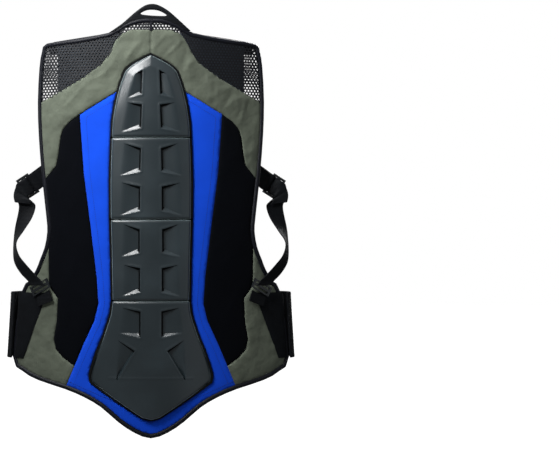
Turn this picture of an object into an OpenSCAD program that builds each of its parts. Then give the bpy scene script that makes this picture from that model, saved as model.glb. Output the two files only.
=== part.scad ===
// Articulated back protector vest. Millimetres, +Z up, outer shell faces -Y, wearer faces +Y.
// The origin is the point on the inside top of the hanging loop where a hook carries the vest.

/* [Back] */
// Radius of the back panel across the body
back_r = 340; // [320:10:400]
// Thickness of the outer fabric
fabric_t = 3; // [2:0.5:4]
// Thickness of the impact foam
foam_t = 11; // [8:1:12]
// Width of the edge binding
binding_w = 6; // [4:1:8]
// Gap between fabric bands at each flex line
band_gap = 7; // [7:1:10]

/* [Plates] */
// Radius of the plates' outer face across the body
plate_r = 190; // [170:10:220]
// Height of the plates over the fabric on the centre line
plate_h = 10; // [9:1:12]
// Wall of the moulded plates under their pockets
plate_wall = 2.5; // [2:0.5:3]
// Gap between two plates
plate_gap = 3; // [3:0.5:4]
// Width of the rubber rim round the plates
rim_w = 3; // [2:0.5:5]
// Height of the rubber rim over the fabric
rim_h = 2.5; // [2:0.5:4]
// Radius of the rivet shanks
rivet_r = 2; // [1.5:0.5:2.5]

/* [Front] */
// Distance of the shoulder yokes' front face from the fabric at the centre
yoke_y = 100; // [95:5:110]
// Radius of the yokes across the body
yoke_r = 500; // [450:50:600]
// Thickness of the yoke pads
pad_t = 7; // [5:1:9]
// Width of the chest strap
chest_w = 20; // [18:1:22]
// Thickness of all webbing
web_t = 1.7; // [1.2:0.1:2]
// Width of the side webbing
side_w = 25; // [20:1:28]

/* [Belt] */
// Height of the kidney belt
belt_w = 98; // [90:1:105]
// Thickness of the kidney belt
belt_t = 2.6; // [2:0.2:3]
// Distance of the kidney belt's front from the fabric at the centre
belt_y = 132; // [128:1:140]

/* [Hidden] */

SECTIONS = ["top", "upper_mid", "lower_mid", "lumbar"];
flex_y = 14;                      // flex axes lie on the inner face of the foam
flex_z = [-185, -304, -422];      // heights of the three flex lines
reach = 400;                      // longer than any part, for cutting tools
gap = 0.3;                        // play between soft parts of different bodies

// ---------- outlines, as [x, z] from the centre line outwards, top to bottom ----------
neck = [[0, -13], [18, -13.5], [40, -21], [61, -33]];
shoulder = [[110, -41], [153, -45], [160, -56]];
side = [[164, -80], [166.5, -130], [165, -180], [160.5, -236], [153.5, -299], [152, -322],
        [156, -345], [163, -363], [169, -378], [180, -396], [192, -412], [206, -508]];
hem = [[191, -529], [166, -541], [126, -552], [97, -563], [72, -577], [47, -598], [24, -613], [0, -621]];
vest_half = concat(neck, shoulder, side, hem);

centre_edge = [[104, -150], [98, -236], [88.5, -310], [79, -388], [76.5, -427], [82.5, -452],
               [98, -485.5], [112, -518.6], [123, -545]];
centre_half = concat([[0, -95], [51, -118.6]], centre_edge, [[127, -552]],
                     [for (p = hem) if (p[0] < 120) p]);

olive_top = [[0, -28], [26, -28], [41, -33], [51.5, -44], [59.5, -62], [72, -77.5], [98.5, -96.5],
             [128, -113], [170, -135]];
olive_low = [[172, -252], [154, -242], [139.5, -224.6], [136, -206.5], [133, -183], [129.6, -172],
             [120, -161], [104, -150], [51, -118.6], [0, -95]];
hip_edge = [[112, -518.6], [129, -507], [140, -495], [143, -480], [138.5, -453], [137, -420],
            [149.5, -403], [150, -395]];

plate_half = [[0, -66.5], [11.2, -72], [22, -77.6], [30.6, -83.4], [36.4, -89.2], [42, -103],
              [46.5, -118], [51.5, -140], [54.8, -163], [56, -185], [57, -215], [58, -250],
              [57.5, -304], [56, -360], [55, -422], [57, -440], [60, -451], [67.3, -473],
              [76.6, -495], [84.3, -517.5], [88, -532], [86.5, -540], [60, -559], [30, -579],
              [12, -590.5], [0, -593.5]];
foam_half = [[0, -48], [50, -54], [95, -95], [124, -130], [132, -200], [130, -300], [134, -360],
             [138, -430], [125, -500], [90, -540], [50, -568], [0, -585]];

// Pockets moulded in the plates: column top, column bottom, outer bottom, outer top.
pockets = [
  [[[12.5, -88], [14, -123], [32.6, -127.6], [22, -93]],
   [[16, -137.8], [17.5, -171.7], [40.5, -176.6], [34, -136]]],
  [[[18, -201], [19, -234.4], [43, -240], [39, -194]],
   [[20, -256.5], [20, -291], [43, -298], [43, -251]]],
  [[[20.5, -318.4], [20.5, -352], [42, -357], [42, -312]],
   [[19.6, -374.4], [19.6, -409], [41, -414.7], [40, -370]]],
  [[[19.5, -437], [19.5, -474.8], [48.7, -469.4], [42, -433]],
   [[26, -493.6], [53, -538], [60, -510], [50, -480.5]]]];
// Outer edge of the hanging loop, and its inner edge back again, as [x, z].
loop_rise = [[-62, -33], [-42, -20], [-24, -5], [-10, 5], [0, 8], [10, 6.5], [24, -1], [40, -14.5],
             [58, -31]];
loop_fall = [[50, -26], [38, -18.5], [26, -10], [20, -6.5], [12, -2], [0, 0], [-8, -0.5], [-16, -5],
             [-24, -12], [-40, -22.5]];

rivet_rows = [[-108, -160], [-216, -274], [-335, -391], [-452, -520]];
rivet_x = 30;

yoke_half = [[62, -46], [110, -48], [150, -53], [137, -75], [130, -115], [124, -160], [118, -200],
             [100, -222], [75, -224], [42, -189], [16, -160], [7, -150], [7, -128], [30, -113],
             [52, -98], [62, -72]];
pad_half = [[82, -52], [104, -64], [113, -86], [106, -112], [88, -137], [62, -152], [30, -157],
            [14, -150], [11, -133], [26, -120], [46, -110], [64, -86], [70, -62]];
chest_z = -169;                   // middle height of the chest strap
chest_x = 103;                    // outer end of both sewn tabs
chest_hinge_x = 87;               // where the left half leaves its tab
ring_x = 4;                       // the bar that the clip hooks over
adjuster_x = -74;                 // middle of the strap's adjuster

ladder_at = [184, 64, -254];      // middle of the armpit ladder lock, right side
lock_turn = -57;                  // turn of the lock about Y: its bars lie across the yoke's strap
hip_at = [163, 34.2, -404];       // middle of the hip ring, right side
hip_turn = 27;                    // turn of the fabric there about Z
hip_tilt = 28;                    // slant of the side webbing where it arrives
// Side webbing from the ladder lock to the hip ring: [x, y, z, turn of its width about Z].
side_route = [[181, 62.5, -276, 0], [188, 60, -300, 22], [196, 57, -320, 52], [202, 52, -338, 76],
              [200, 47, -356, 66], [195, 42, -370, 45], [186, 40, -384, 32], [176, 36.5, -396, 30]];

belt_top = -412;
tongue_x = 64;                    // seam between the right wing and its tongue
belt_fold = [[205.5, 63], [211, 72], [211.5, 83], [206, 93.5], [196, 102], [184, 107.6]];
tongue_half = [[64, 0], [64, 98], [40, 98], [10, 97], [-30, 94], [-62, 88], [-90, 78], [-108, 64],
               [-117, 48], [-116, 34], [-106, 26], [-80, 20], [-40, 15], [0, 9], [40, 2]];
patch_outline = [[-120, 6], [-120, 92], [-80, 96], [-62, 112], [-44, 130], [-28, 138], [0, 141],
                 [27, 141], [27, 44], [0, 30], [-60, 16]];

// ---------- helpers ----------
// The other half of a half outline, so that it closes across the centre line.
function whole(h) = concat(h, [for (i = [len(h) - 1 : -1 : 0]) if (h[i][0] > 0) [-h[i][0], h[i][1]]]);

// A smooth closed curve through the points of an outline, n steps a side.
function spline(p, n) = [for (i = [0 : len(p) - 1]) for (k = [0 : n - 1])
  let (m = len(p), a = p[(i + m - 1) % m], b = p[i], c = p[(i + 1) % m], d = p[(i + 2) % m], t = k / n)
  0.5 * (2 * b + (c - a) * t + (2 * a - 5 * b + 4 * c - d) * t * t + (3 * b - a - 3 * c + d) * t * t * t)];

function unit(v) = v / norm(v);
function left_of(v) = [-v[1], v[0]];

// A closed outline moved in by d (its points run clockwise) or out where d is negative.
function inset(p, d) = [for (i = [0 : len(p) - 1])
  let (m = len(p), a = unit(p[i] - p[(i + m - 1) % m]), b = unit(p[(i + 1) % m] - p[i]),
       s = unit(left_of(a) + left_of(b)), k = max(0.5, s * left_of(a)))
  p[i] - s * d / k];

// The outline of a band of thickness t that follows a path.
function band_outline(p, t) = let (m = len(p),
  s = [for (i = [0 : m - 1]) left_of(unit(p[min(i + 1, m - 1)] - p[max(i - 1, 0)]))])
  concat([for (i = [0 : m - 1]) p[i] + s[i] * t / 2], [for (i = [m - 1 : -1 : 0]) p[i] - s[i] * t / 2]);

function back_at(x, r = back_r) = r - sqrt(r * r - x * x);
function yoke_at(x) = yoke_y - (yoke_r - sqrt(yoke_r * yoke_r - x * x));
function belt_at(x) = belt_y - x * x / 1400;

// An [x, z] outline extruded through the vest from y0 to y1.
module through(p, y0 = -60, y1 = 160) {
  translate([0, y1, 0]) rotate([90, 0, 0]) linear_extrude(y1 - y0) polygon(p);
}

// A layer of the back between two distances inwards from the outer face of the fabric.
module layer(from, to) {
  translate([0, back_r, -reach]) difference() {
    cylinder(r = back_r - from, h = 2 * reach + 100, center = true, $fn = 200);
    cylinder(r = back_r - to, h = 2 * reach + 120, center = true, $fn = 200);
  }
}

// The height of flex line k at its centre and at the sides: the lowest steps up over the belt.
function flex_line(k, dz) = let (z = flex_z[k] + dz, step = 24)
  k == 2 ? [[-260, z + step], [-110, z + step], [-72, z], [72, z], [110, z + step], [260, z + step]]
         : [[-260, z], [260, z]];
function backwards(p) = [for (i = [len(p) - 1 : -1 : 0]) p[i]];

// Section i of the vest, between its flex lines, with half the gap g left free at each.
module section(i, g) {
  top = i == 0 ? [[-260, 30], [260, 30]] : flex_line(i - 1, -g / 2);
  bottom = i == 3 ? [[-260, -700], [260, -700]] : flex_line(i, g / 2);
  through(concat(top, backwards(bottom)));
}

module sides() {
  children();
  mirror([1, 0, 0]) children();
}

// ---------- back ----------
vest = spline(whole(vest_half), 2);
inner_vest = inset(vest, binding_w);
stack = whole(plate_half);

module plate(i) {
  pocket_y = -plate_h + back_at(42, plate_r);
  boss_h = back_at(rivet_x) - gap - pocket_y - 1;
  color("dimgray") difference() {
    union() {
      difference() {
        intersection() {
          through(stack, -60, 60);
          section(i, plate_gap);
          translate([0, plate_r - plate_h, -reach])
            cylinder(r = plate_r, h = 2 * reach, center = true, $fn = 200);
        }
        translate([0, back_r, -reach])
          cylinder(r = back_r + gap, h = 2 * reach + 10, center = true, $fn = 200);
        intersection() {
          through(inset(stack, 7), pocket_y + plate_wall, 60);
          section(i, plate_gap + 14);
        }
        for (p = pockets[i]) sides() through(p, -60, pocket_y);
      }
      for (z = rivet_rows[i]) sides() translate([rivet_x, back_at(rivet_x) - gap, z])
        rotate([90, 0, 0]) cylinder(r = rivet_r + 3, h = boss_h, $fn = 32);
    }
    for (z = rivet_rows[i]) sides() translate([rivet_x, 20, z]) rotate([90, 0, 0])
      cylinder(r = rivet_r + 0.1, h = 22.5, $fn = 32);
  }
}

module rim(i) {
  color([0.03, 0.03, 0.03]) intersection() {
    difference() {
      through(inset(stack, -rim_w));
      through(inset(stack, -gap));
    }
    section(i, plate_gap);
    layer(-rim_h, 0);
  }
}

module centre_panel(i) {
  color("royalblue") difference() {
    intersection() {
      through(whole(centre_half));
      through(inner_vest);
      section(i, band_gap);
      layer(0, fabric_t);
    }
    rivet_holes(i, rivet_r + 0.2);
  }
}

module side_panels(i) {
  color([0.04, 0.04, 0.05]) difference() {
    intersection() {
      through(inner_vest);
      section(i, band_gap);
      layer(0, fabric_t);
    }
    through(whole(centre_half));
    if (i == 0) through(whole(concat([[0, 20], [200, 20]], olive_low)));
    if (i == 3) sides() through(concat(hip_edge, [[150, -380], [230, -380], [230, -600], [100, -600]]));
  }
}

module upper_back_panel() {
  color("darkolivegreen") difference() {
    intersection() {
      through(whole(concat(olive_top, olive_low)));
      through(inner_vest);
      section(0, band_gap);
      layer(0, fabric_t);
    }
    through(whole(centre_half));
    rivet_holes(0, rivet_r + 0.2);
  }
}

module shoulder_nets() {
  color([0.08, 0.08, 0.09]) {
    difference() {
      intersection() {
        through(inner_vest);
        section(0, band_gap);
        layer(1, fabric_t - 1);
      }
      through(whole(concat(olive_top, [[200, -135], [200, -300], [0, -300]])));
    }
    sides() shoulder_bridge();
  }
}

// The net that folds over the shoulder, from the back panel to the yoke.
module shoulder_bridge() {
  xs = [64, 90, 120, 150];
  back_edge = [for (x = xs) [x, back_at(x) + 5]];
  yoke_edge = [for (x = xs) [x, yoke_at(x) - fabric_t - 2 * gap]];
  translate([0, 0, -50]) linear_extrude(2) polygon(concat(back_edge, backwards(yoke_edge)));
}

module hip_corner_panels() {
  color("darkolivegreen") sides() intersection() {
    through(concat(hip_edge, [[150, -380], [230, -380], [230, -600], [126, -600], [126, -552],
                              [123, -545]]));
    through(inner_vest);
    section(3, band_gap);
    layer(0, fabric_t);
  }
}

module binding(i) {
  color([0.02, 0.02, 0.03]) intersection() {
    difference() {
      through(vest);
      through(inner_vest);
    }
    section(i, band_gap);
    layer(-1.5, fabric_t + 1.5);
  }
}

module foam(i) {
  inner_y = back_at(rivet_x) + fabric_t + foam_t;
  color("darkorange") difference() {
    intersection() {
      through(spline(whole(foam_half), 2));
      section(i, band_gap);
      layer(fabric_t + gap, fabric_t + foam_t);
    }
    rivet_holes(i, rivet_r + 0.2);
    for (z = rivet_rows[i]) sides() translate([rivet_x, 60, z]) rotate([90, 0, 0])
      cylinder(r = rivet_r + 3.4, h = 60 - inner_y + 1.8, $fn = 32);
  }
}

module liner(i) {
  color([0.05, 0.05, 0.06]) intersection() {
    through(inset(spline(whole(foam_half), 2), -7));
    through(inner_vest);
    section(i, band_gap);
    layer(fabric_t + foam_t + 0.6, fabric_t + foam_t + 1.5);
  }
}

module rivet_holes(i, r) {
  for (z = rivet_rows[i]) sides() translate([rivet_x, 60, z]) rotate([90, 0, 0])
    cylinder(r = r, h = 70, $fn = 32);
}

module rivets(i) {
  head_y = back_at(rivet_x) + fabric_t + foam_t - 0.2;
  color("black") for (z = rivet_rows[i]) sides() translate([rivet_x, head_y, z]) rotate([90, 0, 0]) {
    cylinder(r = rivet_r + 3, h = 1.4, $fn = 32);
    cylinder(r = rivet_r, h = head_y + 2.3, $fn = 32);
  }
}

module hang_loop() {
  color([0.02, 0.02, 0.03]) difference() {
    through(concat(loop_rise, loop_fall), -1.6, 1.6);
    through(inset(vest, -gap));
  }
}

// ---------- shoulder yokes ----------
module yoke_layer(from, to) {
  translate([0, yoke_y - yoke_r, -reach]) difference() {
    cylinder(r = yoke_r + to, h = 2 * reach + 100, center = true, $fn = 200);
    cylinder(r = yoke_r + from, h = 2 * reach + 120, center = true, $fn = 200);
  }
}

module yoke_panel() {
  color("darkolivegreen") intersection() {
    through(yoke_half, 20, 160);
    yoke_layer(-fabric_t, 0);
  }
}

module yoke_pad() {
  color("darkseagreen") intersection() {
    through(spline(pad_half, 2), 20, 160);
    yoke_layer(gap, pad_t);
  }
}

// Webbing between two stations [x, y, z, turn], w wide.
module web(a, b, w) {
  hull() for (s = [a, b]) translate([s[0], s[1], s[2]]) rotate([0, 0, s[3]])
    cube([w, web_t, 0.4], center = true);
}

// The yoke's lower strap, from the olive panel to the armpit ladder lock.
module yoke_strap() {
  color([0.03, 0.03, 0.04]) hull() {
    translate([113, yoke_at(113) - fabric_t - 1.6, -208]) cube([1, web_t, 34], center = true);
    translate([172, 69.6, -246]) rotate([0, lock_turn + 90, -10])
      cube([1, web_t, side_w + 2], center = true);
  }
}

module ladder_lock() {
  frame = [side_w + 8, 4, 21];
  slot = [side_w + 1, 6, 4.6];
  color([0.06, 0.06, 0.07]) translate(ladder_at) rotate([0, lock_turn, 0]) rotate([0, 0, -8]) difference() {
    cube(frame, center = true);
    for (z = [-5.2, 5.2]) translate([0, 0, z]) cube(slot, center = true);
  }
}

module side_webbing() {
  color([0.03, 0.03, 0.04]) for (i = [0 : len(side_route) - 2])
    web(side_route[i], side_route[i + 1], side_w);
}

// ---------- hips ----------
// The ring and its tab lie on the belt's base, square to the fabric under them.
module hip_ring() {
  translate(hip_at) rotate([0, 0, hip_turn]) rotate([0, hip_tilt, 0]) difference() {
    cube([side_w + 7, 3.4, 14], center = true);
    for (z = [-3.3, 3.3]) translate([0, 0, z]) cube([side_w + 0.6, 5, 3.4], center = true);
  }
}

module hip_tab() {
  hull() {
    translate([159, 33.1, -414]) rotate([0, 0, hip_turn]) rotate([0, hip_tilt, 0])
      cube([side_w, web_t, 1], center = true);
    translate([155, 31.2, -427]) rotate([0, 0, hip_turn]) rotate([0, 20, 0])
      cube([side_w, web_t, 1], center = true);
  }
}

// ---------- chest strap ----------
// The chest strap between two x positions. It stands off the yokes and comes down to them at its
// sewn ends.
function chest_off(x) = abs(x) < chest_hinge_x ? 4.5 : max(1.15, 4.5 - (abs(x) - chest_hinge_x) * 0.5);

module chest_web(x0, x1) {
  steps = 8;
  path = [for (k = [0 : steps]) let (x = x0 + (x1 - x0) * k / steps) [x, yoke_at(x) + chest_off(x)]];
  color([0.05, 0.06, 0.08]) translate([0, 0, chest_z - chest_w / 2]) linear_extrude(chest_w)
    polygon(band_outline(path, web_t));
}

bar_y = yoke_at(ring_x) + 4.5;

module chest_ring() {
  color("silver") for (x = [ring_x, ring_x + 10]) translate([x, bar_y, chest_z])
    cylinder(r = 1.5, h = 26, center = true, $fn = 32);
  color("silver") for (z = [-12.2, 12.2]) translate([ring_x, bar_y, chest_z + z]) rotate([0, 90, 0])
    cylinder(r = 1.3, h = 10, $fn = 32);
}

// A channel that snaps over the ring's bar from the front.
module chest_clip() {
  color("lightgray") difference() {
    translate([ring_x - 4.4, bar_y - 2.6, chest_z - 9]) cube([8.8, 7, 18]);
    translate([ring_x - 2.4, bar_y - 4, chest_z - 10]) cube([4.8, 6.6, 20]);
  }
}

module chest_adjuster() {
  color([0.06, 0.06, 0.07]) translate([adjuster_x, yoke_at(adjuster_x) + 4.5, chest_z])
    rotate([0, 0, 8.5]) difference() {
      cube([16, 5, chest_w + 6], center = true);
      cube([30, web_t + 0.7, chest_w + 1.2], center = true);
      for (sx = [-1, 1]) translate([sx * 3.7, 2.5, 0]) cube([3.6, 4, chest_w + 1.2], center = true);
    }
}

// ---------- kidney belt ----------
// A belt layer that follows the front at distance d, between two x positions.
function front_path(x0, x1, d) = [for (k = [0 : 8]) let (x = x0 + (x1 - x0) * k / 8) [x, belt_at(x) + d]];

module belt_sheet(path, z0, z1) {
  translate([0, 0, z0]) linear_extrude(z1 - z0) polygon(band_outline(path, belt_t));
}

// The sewn end of the belt, on the outside of the hip corner, up to the fold.
module belt_bases() {
  seam = [[153, -412], [190, -510], [204, -510], [197, -412]];
  color("black") sides() intersection() {
    through(seam);
    layer(-1.8 - belt_t, -1.8);
  }
}

module belt_wing_right() {
  color("black") belt_sheet(concat(belt_fold, front_path(172, tongue_x, 4.5)), belt_top - belt_w, belt_top);
}

module belt_wing_left() {
  color("black") mirror([1, 0, 0])
    belt_sheet(concat(belt_fold, front_path(172, 120, 0)), belt_top - belt_w, belt_top);
}

// An [x, z] outline laid on the front of the belt at distance d.
module on_belt(p, x0, x1, d) {
  intersection() {
    belt_sheet(front_path(x0, x1, d), belt_top - 2 * belt_w, belt_top + belt_w);
    translate([0, 0, belt_top - belt_w]) through(p, 60, 180);
  }
}

module belt_loop_patch() {
  color([0.02, 0.02, 0.02]) on_belt(patch_outline, -120, 40, 0);
}

module belt_tongue() {
  color("slategray") on_belt(tongue_half, 64, -125, 4.5);
}

module belt_badge() {
  badge = [[-24, 46], [-26, 52], [-22, 62], [10, 66], [40, 64], [44, 60], [44, 52], [40, 48], [10, 50]];
  color("gray") on_belt([for (p = badge) [p[0] - 46, p[1] - 6]], 64, -125, 7.2);
}

// ---------- nodes ----------
for (i = [0 : 3]) {
  plate(i);
  rim(i);
  foam(i);
  liner(i);
  binding(i);
  rivets(i);
  centre_panel(i);
  side_panels(i);
}
upper_back_panel();
shoulder_nets();
hip_corner_panels();
hang_loop();
yoke_panel();  // yoke_panel_right
mirror([1, 0, 0]) yoke_panel();  // yoke_panel_left
yoke_pad();  // yoke_pad_right
mirror([1, 0, 0]) yoke_pad();  // yoke_pad_left
yoke_strap();  // yoke_strap_right
mirror([1, 0, 0]) yoke_strap();  // yoke_strap_left
ladder_lock();  // ladder_lock_right
mirror([1, 0, 0]) ladder_lock();  // ladder_lock_left
side_webbing();  // side_webbing_right
mirror([1, 0, 0]) side_webbing();  // side_webbing_left
color([0.06, 0.06, 0.07]) sides() hip_ring();  // hip_rings
color([0.03, 0.03, 0.04]) sides() hip_tab();  // hip_tabs
chest_web(ring_x + 9.4, chest_x);  // chest_strap_right
chest_web(1 - chest_hinge_x, ring_x - 3);  // chest_strap_left
chest_web(-chest_x, -0.8 - chest_hinge_x);  // chest_tab_left
chest_clip();
chest_ring();
chest_adjuster();
belt_bases();
belt_wing_left();
belt_wing_right();
belt_loop_patch();
belt_tongue();
belt_badge();
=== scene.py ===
"""Looks of the articulated back protector vest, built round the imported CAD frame.

Shapes are worked out in millimetres and turned into metres where a mesh is made. The row frame is
+Z up, -Y out of the hard plates, +Y the way the wearer faces. The origin is inside the hanging loop.
"""

import math

import bpy
import numpy as np
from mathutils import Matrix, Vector, noise
from mathutils.geometry import delaunay_2d_cdt


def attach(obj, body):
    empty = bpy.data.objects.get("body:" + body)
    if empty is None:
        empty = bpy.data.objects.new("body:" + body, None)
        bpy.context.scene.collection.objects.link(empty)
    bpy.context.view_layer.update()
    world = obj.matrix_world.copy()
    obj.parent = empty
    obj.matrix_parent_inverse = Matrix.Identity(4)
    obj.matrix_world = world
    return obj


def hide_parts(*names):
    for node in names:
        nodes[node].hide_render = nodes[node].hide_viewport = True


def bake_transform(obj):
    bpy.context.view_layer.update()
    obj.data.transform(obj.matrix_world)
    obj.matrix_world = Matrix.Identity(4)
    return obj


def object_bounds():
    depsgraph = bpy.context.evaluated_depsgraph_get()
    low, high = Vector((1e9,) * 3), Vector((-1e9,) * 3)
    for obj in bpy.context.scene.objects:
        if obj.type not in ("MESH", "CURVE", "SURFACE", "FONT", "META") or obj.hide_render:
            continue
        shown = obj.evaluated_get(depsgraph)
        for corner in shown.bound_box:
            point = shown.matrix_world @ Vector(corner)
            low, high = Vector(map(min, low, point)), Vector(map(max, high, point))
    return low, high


MM = 0.001
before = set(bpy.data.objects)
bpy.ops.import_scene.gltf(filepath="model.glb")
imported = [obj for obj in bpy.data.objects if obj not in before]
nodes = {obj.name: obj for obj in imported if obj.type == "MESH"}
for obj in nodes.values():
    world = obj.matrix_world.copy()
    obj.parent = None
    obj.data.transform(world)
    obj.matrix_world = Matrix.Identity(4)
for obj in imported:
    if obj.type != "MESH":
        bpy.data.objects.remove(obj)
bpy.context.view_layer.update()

# ---------- driving sizes, in mm ----------
BACK_R = 340  # radius of the back panel across the body
PLATE_R = 190  # radius of the plates' face across the body
PLATE_H = 10  # height of the plates over the fabric on the centre line
YOKE_Y = 100  # front face of the yokes on the centre line
YOKE_R = 500  # radius of the yokes across the body
BELT_Y = 132  # front of the kidney belt on the centre line
BELT_T = 2.6  # thickness of the kidney belt
BELT_TOP = -412
BELT_W = 98
FABRIC_T = 3
FOAM_T = 11
SIDE_W = 25  # width of the side webbing
YOKE_STRAP_W = 27  # width of the straps sewn to the yokes
WEBBING_T = 1.7  # thickness of all the webbing
CHEST_W = 20  # width of the chest strap
CHEST_Z = -169
CHEST_HINGE_X = 87
CHEST_X = 103
CHEST_OFF = 4.5  # how far the chest strap stands off the yokes between its sewn ends
RING_X = 4
BELT_LAP = 4.5  # how far the right wing of the belt lies over the left one
SHOULDER_FOLD = (92, 96)  # cut size of the net that folds over a shoulder

# ---------- outlines, as (x, z) from the centre line outwards, top to bottom ----------
NECK = [(0, -13), (18, -13.5), (40, -21), (61, -33)]
SHOULDER = [(110, -41), (153, -45), (160, -56)]
SIDE = [(164, -80), (166.5, -130), (165, -180), (160.5, -236), (153.5, -299), (152, -322),
        (156, -345), (163, -363), (169, -378), (180, -396), (192, -412), (206, -508)]
HEM = [(191, -529), (166, -541), (126, -552), (97, -563), (72, -577), (47, -598), (24, -613), (0, -621)]
CENTRE_EDGE = [(104, -150), (98, -236), (88.5, -310), (79, -388), (76.5, -427), (82.5, -452),
               (98, -485.5), (112, -518.6), (123, -545)]
CENTRE = [(0, -95), (51, -118.6), *CENTRE_EDGE, (127, -552), (127, -640), (0, -640)]
OLIVE_TOP = [(0, -28), (26, -28), (41, -33), (51.5, -44), (59.5, -62), (72, -77.5), (98.5, -96.5),
             (128, -113), (170, -135)]
OLIVE_LOW = [(172, -252), (154, -242), (139.5, -224.6), (136, -206.5), (133, -183), (129.6, -172),
             (120, -161), (104, -150), (51, -118.6), (0, -95)]
HIP_EDGE = [(112, -518.6), (129, -507), (140, -495), (143, -480), (138.5, -453), (137, -420),
            (149.5, -403), (150.5, -395), (151, -338)]
PLATES = [(0, -66.5), (11.2, -72), (22, -77.6), (30.6, -83.4), (36.4, -89.2), (42, -103),
          (46.5, -118), (51.5, -140), (54.8, -163), (56, -185), (57, -215), (58, -250),
          (57.5, -304), (56, -360), (55, -422), (57, -440), (60, -451), (67.3, -473),
          (76.6, -495), (84.3, -517.5), (88, -532), (86.5, -540), (60, -559), (30, -579),
          (12, -590.5), (0, -593.5)]
FOAM = [(0, -48), (50, -54), (95, -95), (124, -130), (132, -200), (130, -300), (134, -360),
        (138, -430), (125, -500), (90, -540), (50, -568), (0, -585)]
# Pockets: column top, column bottom, outer bottom, outer top.
POCKETS = [
    [[(12, -88), (13.5, -123), (34, -128), (22, -93)],
     [(12.8, -137.8), (14.2, -171.7), (43, -177), (34, -135)]],
    [[(14.3, -201), (15.2, -234.4), (45, -240), (39, -194)],
     [(15.4, -256.5), (15.6, -291), (45, -298), (42, -251)]],
    [[(16, -318.4), (16.2, -352), (43, -357.5), (40, -311)],
     [(15.6, -374.4), (15.6, -409), (42, -415), (39, -370)]],
    [[(15, -437), (15, -474.8), (46, -468), (41, -432)],
     [(23.4, -494), (49, -537), (50, -536), (48, -479)]],
]
YOKE = [(62, -46), (110, -48), (132, -51), (131, -75), (129, -115), (124, -160), (118, -200),
        (100, -222), (75, -224), (42, -189), (16, -160), (7, -150), (7, -128), (30, -113),
        (52, -98), (62, -72)]
PAD = [(82, -52), (104, -64), (113, -86), (106, -112), (88, -137), (62, -152), (30, -157),
       (14, -150), (11, -133), (26, -120), (46, -110), (64, -86), (70, -62)]
LOOP_RISE = [(-62, -33), (-42, -19.5), (-24, -4), (-10, 6), (0, 8.8), (10, 7.5), (24, 0), (40, -13.5),
             (58, -30)]
LOOP_FOOT = [(48, -30), (40, -24), (18, -16), (0, -15), (-18, -16), (-40, -24), (-52, -31)]
LOOP_HOLE = [(-15, -5.6), (-8, -1.2), (0, 0.2), (10, -0.8), (18, -4.2), (22.5, -8.2), (10, -8.4),
             (-4, -7.6)]
# The ladder lock's middle, and its directions: across its bars, out of its face, and along its bars.
LOCK = np.array([184, 64, -254.0])
LOCK_S = np.array([0.839, 0, -0.545])
LOCK_N = np.array([0.076, 0.99, 0.117])
LOCK_W = np.array([0.54, -0.14, 0.83])
# How the two straps run round its bars, as (across, out of its face).
YOKE_FOLD = [(-14.4, 5.6), (-12, 4.2), (-9, 3.2), (-6.4, 1.8), (-5.4, 0), (-6.4, -2), (-9, -3.2),
             (-13, -2.2), (-20, 2.2), (-30, 6.2)]
SIDE_FOLD = [(9, -3.9), (6.6, -1.6), (5.2, 0.3), (3.4, 2.8), (0, 3.6), (-3.4, 2.8), (-4.6, 0), (-3, -3),
             (1, -5.2), (6, -6.2)]
# The side strap's free tail: x, y, z, and the turn of its width.
SIDE_TAIL = [(190.5, 56.6, -280, 10), (193, 57, -271, 24)]
# The side strap where it leaves the lock: x, y, z, and its width's direction.
SIDE_EXIT = [(192, 57.2, -260.5, 0.66, 0, 0.75), (191.5, 57.8, -267, 0.84, 0.05, 0.52),
             (188.5, 59.2, -275, 0.97, 0.1, 0.2)]
# The side strap below the lock: x, y, z, and the turn of its width about Z.
SIDE_ROUTE = [(184.5, 60.5, -284, 4), (188, 60, -300, 22), (196, 57, -320, 52), (202, 52, -338, 76),
              (200, 47, -356, 66), (193, 42.5, -370, 45), (182, 39.5, -384, 32), (171, 36.6, -395, 30),
              (166.5, 34.6, -401, 28)]
BELT_FOLD = [(205.5, 63), (211, 72), (211.5, 83), (206, 93.5), (196, 102), (184, 107.6)]
TONGUE_X = 64
TONGUE = [(64, 0), (64, 98), (40, 98), (10, 97), (-30, 94), (-62, 88), (-90, 78), (-108, 64),
          (-117, 48), (-116, 34), (-106, 26), (-80, 20), (-40, 15), (0, 9), (40, 2)]
PATCH = [(27, 44), (27, 141), (0, 141), (-28, 138), (-44, 130), (-62, 112), (-80, 96), (-120, 92),
         (-120, 6), (-60, 16), (0, 30)]
BADGE = [(-70, 40), (-72, 46), (-68, 56), (-36, 60), (-6, 58), (-2, 54), (-2, 46), (-6, 42), (-36, 44)]
BELT_SEAM = [(153, -412), (190, -510), (204, -510), (197, -412)]

# The vest bends at three heights. Cloth is cut half way between them, and each length of it covers two
# sections: (top, bottom, upper body, lower body, bend start, bend end).
FAR = 1000
CUT_Z = (-244, -363)
BACK_BANDS = [
    (FAR, CUT_Z[0], "upper_back", "upper_mid_back", -168, -202),
    (*CUT_Z, "upper_mid_back", "lower_mid_back", -287, -321),
    (CUT_Z[1], -FAR, "lower_mid_back", "lumbar_back", -398, -432),
]
SECTIONS = ["top", "upper_mid", "lower_mid", "lumbar"]
SECTION_BODIES = ["upper_back", "upper_mid_back", "lower_mid_back", "lumbar_back"]
FLEX_Z = [-185, -304, -422]


# ---------- surfaces: y in mm for an x ----------
def dome(x, radius):
    return radius - np.sqrt(np.maximum(radius**2 - np.asarray(x, float) ** 2, 1))


def back_y(x):
    return dome(x, BACK_R)


def yoke_y(x):
    return YOKE_Y - dome(x, YOKE_R)


def belt_y(x):
    return BELT_Y - np.asarray(x, float) ** 2 / 1400


def ease(t):
    t = np.clip(t, 0, 1)
    return t * t * (3 - 2 * t)


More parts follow.
